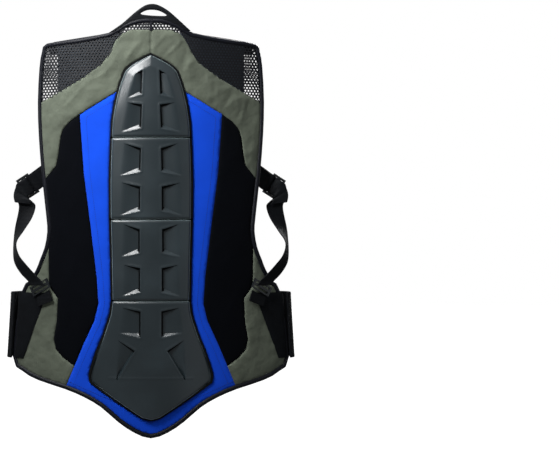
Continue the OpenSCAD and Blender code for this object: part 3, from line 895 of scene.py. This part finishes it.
flat, faces = region([[(-2.2, -12), (2.2, -12), (1.8, -30), (-1.8, -30)]], spacing=1.5)
base = back_y(flat[:, 0])
verts, out = closed_sheet(faces, placed(flat, base - 1.6), placed(flat, base + 1.2))
on_body(mesh_object("neck_tab", verts, out, BINDING, 50), "upper_back", "binding")

# ---------- plates ----------
PLATE_EDGE_R = 2.6  # rounding of the plates' outer edge
PLATE_PLAY = 2.2  # gap between two plates
POCKET_DEPTH = 4.8
WALL_IN, WALL_LOW, WALL_TOP = 2.3, 5.6, 3.0  # how wide a pocket's sloping walls are, seen from outside
BEVEL_W, BEVEL_SLOPE = 13, 0.28  # the sloping border of the top plate's arch
RIDGE_Z, RIDGE_X = -534, 62  # the thin ridge across the lumbar plate, and its half width


def clipped(outline, top, bottom):
    """An outline cut at two heights."""
    points = [tuple(q) for q in outline]
    for level, keep_above in ((top, False), (bottom, True)):
        out = []
        for (x0, z0), (x1, z1) in zip(points, points[1:] + points[:1]):
            in0, in1 = ((z0 >= level), (z1 >= level)) if keep_above else ((z0 <= level), (z1 <= level))
            if in0:
                out.append((x0, z0))
            if in0 != in1:
                t = (level - z0) / (z1 - z0)
                out.append((x0 + (x1 - x0) * t, level))
        points = out
    return points


def plate_front(flat, outline, pockets, arched):
    """Height of a plate's face: domed, rounded at its edge, with its pockets sunk."""
    d = near(flat, segments_of(outline))
    r = PLATE_EDGE_R
    edge = r - np.sqrt(r * r - (r - np.minimum(d, r)) ** 2)
    y = dome(flat[:, 0], PLATE_R) - PLATE_H + edge
    if arched:
        y += BEVEL_SLOPE * np.maximum(0, BEVEL_W - d) * ease((flat[:, 1] + 150) / 55)
    ridge = np.exp(-(((flat[:, 1] - RIDGE_Z) / 1.1) ** 2)) * (np.abs(flat[:, 0]) < RIDGE_X)
    y -= 0.35 * ridge
    for p in pockets:
        p = np.array(p, float)
        floor = pocket_floor(p)
        inner, outer = (near(flat, np.stack([p[a], p[b]])[None]) for a, b in ((0, 1), (2, 3)))
        to_edge, to_floor = near(flat, segments_of(p)), near(flat, segments_of(floor))
        wall = np.where(holds(floor, flat), 1, to_edge / (to_edge + to_floor + 1e-6))
        sunk = POCKET_DEPTH * ease(outer / (inner + outer + 1e-6)) ** 0.8 * wall
        lip = 0.4 * np.exp(-((to_edge - 1.3) ** 2) / 1.4) * np.clip(outer / 12, 0, 1)
        y += np.where(holds(p, flat), sunk, -lip)
    return y


def in_painted_shade(middles, p):
    """Which points lie on a pocket's upper wall, or on an upright pocket's inner one: both get near-black
    plastic as painted shade.
    """
    p = np.array(p, float)
    inner, low, outer, top = (near(middles, np.stack([p[a], p[(a + 1) % 4]])[None]) for a in range(4))
    slanted = abs(p[1, 0] - p[0, 0]) > 10
    wall = top if slanted else np.minimum(inner, top)
    return holds(p, middles) & ~holds(pocket_floor(p), middles) & (wall < np.minimum(low, outer)) & (wall < 3)


def pocket_floor(p):
    """The four corners of a pocket's floor, inside its sloping walls."""
    a, b, c, d = (np.array(q, float) for q in p)
    down = (b - a) / np.linalg.norm(b - a)
    out = ((d - a) + (c - b)) / np.linalg.norm((d - a) + (c - b))
    return [a + out * WALL_IN + down * WALL_TOP, b + out * WALL_IN - down * WALL_LOW,
            c - out * 0.6 - down * 0.3, d - out * 0.6 + down * 0.3]


for i, section_name in enumerate(SECTIONS):
    top = FLEX_Z[i - 1] - PLATE_PLAY / 2 if i > 0 else FAR
    bottom = FLEX_Z[i] + PLATE_PLAY / 2 if i < 3 else -FAR
    outline = clipped(STACK, top, bottom)
    pockets = [p for q in POCKETS[i] for p in (q, mirrored(q))]
    rings = [inset(outline, k) for k in (0.35, 0.9, 1.7, PLATE_EDGE_R + 0.2)]
    rings += [ring for p in pockets for ring in (p, pocket_floor(p), inset(p, -1.3))]
    flat, faces = region([outline], rings=rings, spacing=1.7)
    verts, out = closed_sheet(faces, placed(flat, plate_front(flat, outline, pockets, i == 0)),
                              placed(flat, back_y(flat[:, 0]) - 0.5))
    plate = mesh_object(f"{section_name}_shell", verts, out, PLATE, 28)
    # The pocket walls that lie in shade get the near-black plastic: painted shade.
    plate.data.materials.append(POCKET_PAINTED_SHADE)
    shaded = np.any([in_painted_shade(flat[faces].mean(1), p) for p in pockets], axis=0)
    for k in np.nonzero(shaded)[0]:
        plate.data.polygons[int(k)].material_index = 1
    on_body(plate, SECTION_BODIES[i], "plate", f"{section_name}_plate")
    # A thin bead round each plate's edge, pale to paint the highlight that the rounded edge catches.
    edge = resampled(inset(outline, 0.2), 3.0)
    verts, out = tube(edge, plate_front(edge, outline, [], i == 0) + 0.5, 0.6, 0.6, 8)
    on_body(mesh_object(f"{section_name}_edge_bead_painted_highlight", verts, out, PLATE_EDGE_HIGHLIGHT, 60), SECTION_BODIES[i], "plate")
    rounded_node(f"{section_name}_rim", RIM, 0.7, 2)
    rounded_node(f"{section_name}_rivets", BUCKLE, 0.7, 2)

# ---------- foam and liner ----------
FOAM_LINE = smooth(whole(FOAM), 3)


def inner_y(flat):
    """Inner face of the padded back: the foam stands up from the fabric with a rounded edge."""
    inside = holds(FOAM_LINE, flat)
    d = near(flat, segments_of(FOAM_LINE)) * np.where(inside, 1, -1)
    rise = np.sqrt(np.clip(1 - (1 - np.clip((d + 2) / 14, 0, 1)) ** 2, 0, 1))
    return back_y(flat[:, 0]) + FABRIC_T + 0.4 + FOAM_T * rise


flat, faces = region([FOAM_LINE], lines=CUT_LINES, spacing=5.0)
foam_inner = inner_y(flat) - 0.4 + 0.25 * rough(flat, 25, 4.0)
foam_outer = back_y(flat[:, 0]) + FABRIC_T + 0.1
verts, out = closed_sheet(faces, placed(flat, foam_outer), placed(flat, foam_inner))
lengths = in_bands("impact_foam", verts, out, FOAM_SKIN, BACK_BANDS, section_nodes("foam"), len(flat))


def net_on_foam(flat):
    return inner_y(flat) + 1.0 + 0.3 * rough(flat, 40, 6.0)


verts, out = net([inset(VEST, 5)], [], net_on_foam, pitch=5.0, strand=1.35, thick=0.9)
in_bands("liner_net", verts, out, NET, BACK_BANDS, section_nodes("liner"))

# ---------- shoulder yokes ----------
PAD_LINE = inset(smooth(PAD, 3), 0.9)
PAD_VOXEL, PAD_CAP, PAD_HELD = 2.2, 3.0, 2.5  # remesh step, furthest a point may swell, and edge held
SLATE_Z, SLATE_Z_INNER, SLATE_X = -98, -70, 80  # slate cloth starts here, and higher inside SLATE_X


def pad_mesh(side):
    """A closed pad, a little smaller than it will swell to, ready for the cloth simulation."""
    flat, faces = region([PAD_LINE], spacing=4.0)
    d = near(flat, segments_of(PAD_LINE))
    crown = 3.0 * np.sqrt(np.clip(d / 9, 0, 1))
    base = yoke_y(flat[:, 0])
    verts, out = closed_sheet(faces, placed(flat, base + 0.4), placed(flat, base + 3.0 + crown))
    verts[:, 0] *= side
    return verts, (out if side > 0 else [f[::-1] for f in out])


def swell(obj, side):
    """Blows a pad up with a short cloth simulation, held along its piping and kept off the yoke."""
    scene = bpy.context.scene
    bpy.context.view_layer.objects.active = obj
    remesh = obj.modifiers.new("remesh", "REMESH")
    remesh.mode, remesh.voxel_size, remesh.use_smooth_shade = "VOXEL", PAD_VOXEL * MM, True
    graph = bpy.context.evaluated_depsgraph_get()
    mesh = bpy.data.meshes.new_from_object(obj.evaluated_get(graph))
    obj.modifiers.clear()
    obj.data = mesh
    rest = np.array([v.co for v in mesh.vertices])
    from_edge = near(rest[:, [0, 2]] / MM * (side, 1), segments_of(PAD_LINE))
    held = obj.vertex_groups.new(name="held")
    held.add([int(k) for k in np.nonzero(from_edge < PAD_HELD)[0]], 1.0, "REPLACE")
    cloth = obj.modifiers.new("cloth", "CLOTH")
    cloth.settings.vertex_group_mass = "held"
    cloth.settings.use_pressure = True
    cloth.settings.uniform_pressure_force = 4
    cloth.settings.effector_weights.gravity = 0
    cloth.settings.quality = 5
    for f in range(1, 16):
        scene.frame_set(f)
    graph = bpy.context.evaluated_depsgraph_get()
    moved = np.array([v.co for v in obj.evaluated_get(graph).data.vertices])
    obj.modifiers.clear()
    scene.frame_set(1)
    move = moved - rest
    length = np.linalg.norm(move, axis=1, keepdims=True)
    move *= np.minimum(1, PAD_CAP * MM / np.maximum(length, 1e-9))
    final = rest + move
    final[:, 1] = np.maximum(final[:, 1], (yoke_y(final[:, 0] / MM) + 0.3) * MM)
    for v, co in zip(mesh.vertices, final):
        v.co = co
    sub = obj.modifiers.new("smooth", "SUBSURF")
    sub.levels = sub.render_levels = 1


def at_lock(across, out):
    """A point of the right ladder lock, from its middle."""
    return LOCK + across * LOCK_S + out * LOCK_N


def turned_station(q, forward, up):
    """A station of a strap whose width is turned by q's angle, towards the front or upwards."""
    c, s = math.cos(math.radians(q[3])), math.sin(math.radians(q[3]))
    return (*q[:3], c, forward * s, up * s)


for label, side in (("right", 1), ("left", -1)):
    body = f"yoke_{label}"
    outline = YOKE if side > 0 else mirrored(YOKE)
    flat, faces = region([smooth(outline, 2)], spacing=4.5)
    d = edge_distance(flat, faces)
    lift = 0.9 * (1 - np.exp(-d / 3)) + 0.35 * ease(d / 12) * rough(flat, 24, side * 3.0)
    base = yoke_y(flat[:, 0])
    verts, out = closed_sheet(faces, placed(flat, base - 2.6), placed(flat, base - 0.9 + lift))
    cloth = mesh_object(f"yoke_cloth_{label}", verts, out, OLIVE, 50)
    cloth.data.materials.append(SLATE_CLOTH)
    for polygon in cloth.data.polygons:
        start = SLATE_Z if abs(polygon.center.x) > SLATE_X * MM else SLATE_Z_INNER
        polygon.material_index = int(polygon.center.z > start * MM)
    on_body(cloth, body, "green_fabric", f"yoke_panel_{label}")
    sheet_facts(cloth)
    edge = resampled(inset(smooth(outline, 2), 1.6), 4)
    verts, out = tube(edge, yoke_y(edge[:, 0]) - 1.5, 2.6, 2.5)
    on_body(mesh_object(f"yoke_tape_{label}", verts, out, BINDING, 60), body, "binding")

    verts, out = pad_mesh(side)
    pad = mesh_object(f"yoke_cushion_{label}", verts, out, PADDING, None)
    swell(pad, side)
    on_body(pad, body, "pad_fabric", f"yoke_pad_{label}")
    edge = resampled(smooth(PAD if side > 0 else mirrored(PAD), 4), 3)
    verts, out = tube(edge, yoke_y(edge[:, 0]) + 1.2, 2.0, 2.0)
    on_body(mesh_object(f"yoke_piping_{label}", verts, out, BINDING, 60), body, "binding")

    fold = np.array([at_lock(a, b) for a, b in smooth(YOKE_FOLD, 4, False)])
    start, end = np.array([113, yoke_y(113) - 4.6, -208.0]), fold[0]
    t = np.linspace(0, 1, 16)[:-1, None]
    run = start + (end - start) * t
    run[:, 2] += 3.0 * np.sin(math.pi * t[:, 0])
    widths = np.vstack([(1 - t) * np.array([0, 0, 1.0]) + t * LOCK_W, np.tile(LOCK_W, (len(fold), 1))])
    section = webbing_profile(YOKE_STRAP_W, WEBBING_T)
    verts, out = sweep(np.vstack([run, fold]) * (side, 1, 1), widths * (side, 1, 1), section)
    strap = mesh_object(f"lower_strap_{label}", verts, out, WEBBING, 50)
    on_body(strap, body, "webbing", f"yoke_strap_{label}")
    rounded_node(f"ladder_lock_{label}", BUCKLE, 0.9, angle=30)

    stations = [turned_station(q, 0.3, 0.8) for q in SIDE_TAIL]
    stations += [(*at_lock(a, b), *LOCK_W) for a, b in SIDE_FOLD] + SIDE_EXIT
    stations += [turned_station(q, 1, 0) for q in SIDE_ROUTE]
    route = smooth(stations, 5, False)
    section = webbing_profile(SIDE_W, WEBBING_T)
    verts, out = sweep(route[:, :3] * (side, 1, 1), route[:, 3:] * (side, 1, 1), section)
    bands = [(FAR, -327, body, "upper_back", -286, -326.5),
             (-327, -352, "upper_back", "upper_mid_back", -327.5, -351.5),
             (-352, -376, "upper_mid_back", "lower_mid_back", -352.5, -375.5),
             (-376, -FAR, "lower_mid_back", "lumbar_back", -376.5, -398)]
    in_bands(f"side_strap_{label}", verts, out, WEBBING, bands,
             [(), (), (), (f"side_webbing_{label}",)])

# ---------- hips and chest hardware ----------
for name, material in (("hip_rings", BUCKLE), ("hip_tabs", WEBBING), ("chest_clip", CLIP),
                       ("chest_ring", CLIP), ("chest_adjuster", BUCKLE)):
    rounded_node(name, material, 0.6)


# ---------- chest strap ----------
def chest_line(x0, x1):
    """The chest strap's middle: off the yokes, and down to them past its hinge lines."""
    xs = np.linspace(x0, x1, 40)
    past = np.maximum(0, np.abs(xs) - CHEST_HINGE_X)
    off = np.maximum(1.15, CHEST_OFF - past * 0.5)
    return np.stack([xs, yoke_y(xs) + off, np.full(40, CHEST_Z)], 1)


for name, x0, x1, body, node in (
    ("chest_band_right", RING_X + 9.4, CHEST_X, "yoke_right", "chest_strap_right"),
    ("chest_band_left", 1 - CHEST_HINGE_X, RING_X - 3, "chest_strap", "chest_strap_left"),
    ("chest_band_tab", -CHEST_X, -0.8 - CHEST_HINGE_X, "yoke_left", "chest_tab_left"),
):
    section = webbing_profile(CHEST_W, WEBBING_T)
    verts, out = sweep(chest_line(x0, x1), np.tile((0, 0, 1.0), (40, 1)), section)
    on_body(mesh_object(name, verts, out, WEBBING, 50), body, "webbing", node)


# ---------- kidney belt ----------
def belt_line(x0, x1, d, fold):
    front = [(x, float(belt_y(x)) + d) for x in np.linspace(x0, x1, 14)]
    return smooth([*fold, *front] if fold else front, 4, False)


def belt_wing(name, x_end, d, side, body, node):
    line = belt_line(172, x_end, d, BELT_FOLD)
    p = along(line, np.linspace(0, 1, 90))
    path = np.stack([p[:, 0] * side, p[:, 1], np.full(90, BELT_TOP - BELT_W / 2)], 1)
    u = np.linspace(-1, 1, 41)
    edge = BELT_T / 2 * (0.92 + 0.25 * (np.abs(u) > 0.93) - 0.5 * (np.abs(u) > 0.99))
    edge = edge + 0.10 * np.sin(u * 60)
    top = np.stack([u * BELT_W / 2, edge], 1)
    verts, out = sweep(path, np.tile((0, 0, 1.0), (90, 1)), np.vstack([top, top[::-1] * (1, -1)]))
    lean = np.clip((np.abs(verts[:, 0]) - 150) / 40, 0, 1)
    verts[:, 0] += side * lean * -0.06 * (verts[:, 2] - BELT_TOP + BELT_W / 2)
    wing = mesh_object(name, verts, out, ELASTIC, 50)
    on_body(wing, body, "elastic", node)
    sheet_facts(wing, (float(np.linalg.norm(np.diff(p, axis=0), axis=1).sum()), BELT_W))


belt_wing("belt_elastic_right", TONGUE_X, BELT_LAP, 1, "belt_right", "belt_wing_right")
belt_wing("belt_elastic_left", 120, 0, -1, "belt_left", "belt_wing_left")


def on_belt(name, outline, d, thick, material, body, slot, node, puff=0.5, wrinkle=0.3, spacing=3.5,
            seam=0):
    """A panel laid on the front of the belt, from a flat outline over the belt's lower edge.

    The outline's first points, as many as seam, are joined by straight lines."""
    rounded = [*outline[:seam], *smooth(outline[seam:], 3, False)] if seam else smooth(outline, 3)
    line = [(x, z + BELT_TOP - BELT_W) for x, z in rounded]
    flat, faces = region([line], spacing=spacing)
    e = edge_distance(flat, faces)
    base = belt_y(flat[:, 0]) + d
    swell_up = puff * (1 - np.exp(-e / 2.5)) + wrinkle * ease(e / 10) * rough(flat, 26, d)
    outer = base + thick / 2 - 0.4 + swell_up
    verts, out = closed_sheet(faces, placed(flat, base - thick / 2), placed(flat, outer))
    part = mesh_object(name, verts, out, material, 50)
    on_body(part, body, slot, node)
    return part, np.array(line)


tongue, tongue_line = on_belt("belt_tongue_cloth", TONGUE, BELT_LAP, BELT_T, TONGUE_CLOTH, "belt_right",
                              "tongue_fabric", "belt_tongue", wrinkle=0.7, seam=2)
patch, _ = on_belt("belt_pile", PATCH, 0, BELT_T, LOOP_PILE, "belt_left", "loop_pile", "belt_loop_patch",
                   seam=2)
sheet_facts(tongue)
sheet_facts(patch)
on_belt("belt_plain_badge", BADGE, BELT_LAP + 2.7, BELT_T * 0.7, BADGE_SKIN, "belt_right", "badge",
        "belt_badge", 0.9, 0.0, 2.5)
for k, inwards in enumerate((3.2, 6.4)):
    path = resampled(inset(tongue_line, inwards), 3.0)
    sewn = placed(path, belt_y(path[:, 0]) + BELT_LAP + BELT_T / 2 + 0.3)
    verts, out = stitches(sewn, np.tile((0, 1, 0), (len(path), 1)))
    sewing = mesh_object(f"tongue_stitches_{k + 1}", verts, out, PALE_THREAD, 60)
    on_body(sewing, "belt_right", "tongue_fabric")

for label, side in (("right", 1), ("left", -1)):
    flat, faces = region([BELT_SEAM if side > 0 else mirrored(BELT_SEAM)], spacing=3.5)
    d = edge_distance(flat, faces)
    base = back_y(flat[:, 0])
    outer = base - 2.4 - 1.6 * (1 - np.exp(-d / 2))
    verts, out = closed_sheet(faces, placed(flat, outer), placed(flat, base - 1.8))
    part = mesh_object(f"belt_root_{label}", verts, out, ELASTIC, 50)
    on_body(part, "lumbar_back", "elastic", *(("belt_bases",) if side > 0 else ()))
    sheet_facts(part)

# ---------- stage, light and camera ----------
bpy.context.view_layer.update()
low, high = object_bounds()
centre = (low + high) / 2

scene = bpy.context.scene
scene.view_settings.view_transform = "Standard"

FLOOR_GAP = 0.9  # metres from the hanging vest down to the floor
bpy.ops.mesh.primitive_plane_add(size=40, location=(0, 0, low.z - FLOOR_GAP))
floor = bpy.context.object
floor.name = "floor"
pale, tree, shader, where = node_graph("pale_floor")
stops = [(0.3, (0.42, 0.43, 0.44)), (0.7, (0.46, 0.46, 0.46))]
link(tree, ramp_node(tree, noise_node(tree, where, 3, 3), stops), shader.inputs["Base Color"])
set_values(shader, {"Roughness": 0.9, "Emission Color": (1, 1, 1, 1)})
# It glows only to the camera, so it looks white and lights nothing.
link(tree, tree.nodes.new("ShaderNodeLightPath").outputs["Is Camera Ray"], shader.inputs["Emission Strength"])
floor.data.materials.append(pale)

# The sky is white to look at. As a light it is dimmer, and darkest below, so that dark cloth stays dark.
world = bpy.data.worlds.new("studio")
scene.world = world
world.use_nodes = True
tree = world.node_tree
sky = tree.nodes["Background"]
sky.inputs["Color"].default_value = (1, 1, 1, 1)
seen = tree.nodes.new("ShaderNodeLightPath").outputs["Is Camera Ray"]
height = tree.nodes.new("ShaderNodeSeparateXYZ")
link(tree, tree.nodes.new("ShaderNodeTexCoord").outputs["Generated"], height.inputs[0])
level = tree.nodes.new("ShaderNodeMapRange")
level.interpolation_type = "SMOOTHSTEP"
link(tree, height.outputs["Z"], level.inputs["Value"])
set_values(level, {"From Min": -0.06, "From Max": 0.34, "To Min": 0.03, "To Max": 0.40})
link(tree, combine(tree, "MAXIMUM", seen, level.outputs["Result"]), sky.inputs["Strength"])


def softbox(name, position, size, power, colour=(1, 1, 1), aim=0.0):
    """A square lamp that points at the vest's middle, or as far above it as aim says."""
    light = bpy.data.lights.new(name, "AREA")
    light.shape, light.size, light.size_y = "RECTANGLE", size[0], size[1]
    light.energy, light.color = power, colour
    obj = bpy.data.objects.new(name, light)
    scene.collection.objects.link(obj)
    obj.location = centre + Vector(position)
    obj.rotation_mode = "QUATERNION"
    obj.rotation_quaternion = (Vector((0, 0, aim)) - Vector(position)).to_track_quat("-Z", "Y")
    return obj


softbox("top", (-0.33, -0.22, 1.15), (0.35, 0.35), 14)
for turn, name, power in ((1, "", 4.6), (-1, "rear_", 6)):
    key = softbox(name + "key", (-0.6 * turn, -0.72 * turn, 0.8), (0.45, 0.45), power, aim=0.24)
    key.data.spread = math.radians(70)
    softbox(name + "fill", (1.5 * turn, -1.5 * turn, 0.2), (1.2, 1.8), 3, (0.9, 0.95, 1.0))

camera_data = bpy.data.cameras.new("camera")
camera = bpy.data.objects.new("camera", camera_data)
scene.collection.objects.link(camera)
scene.camera = camera
camera_data.lens = 95
camera_data.sensor_width = 36
VIEW_WIDTH = 0.811  # metres across the picture at the vest
EYE_Z = -0.312  # the height of the middle of the vest
distance = VIEW_WIDTH * camera_data.lens / camera_data.sensor_width
camera.location = (0, -distance, EYE_Z)
camera.rotation_euler = (math.pi / 2, 0, 0)
camera_data.shift_x = 0.23
camera_data.clip_end = 50

bpy.context.view_layer.update()
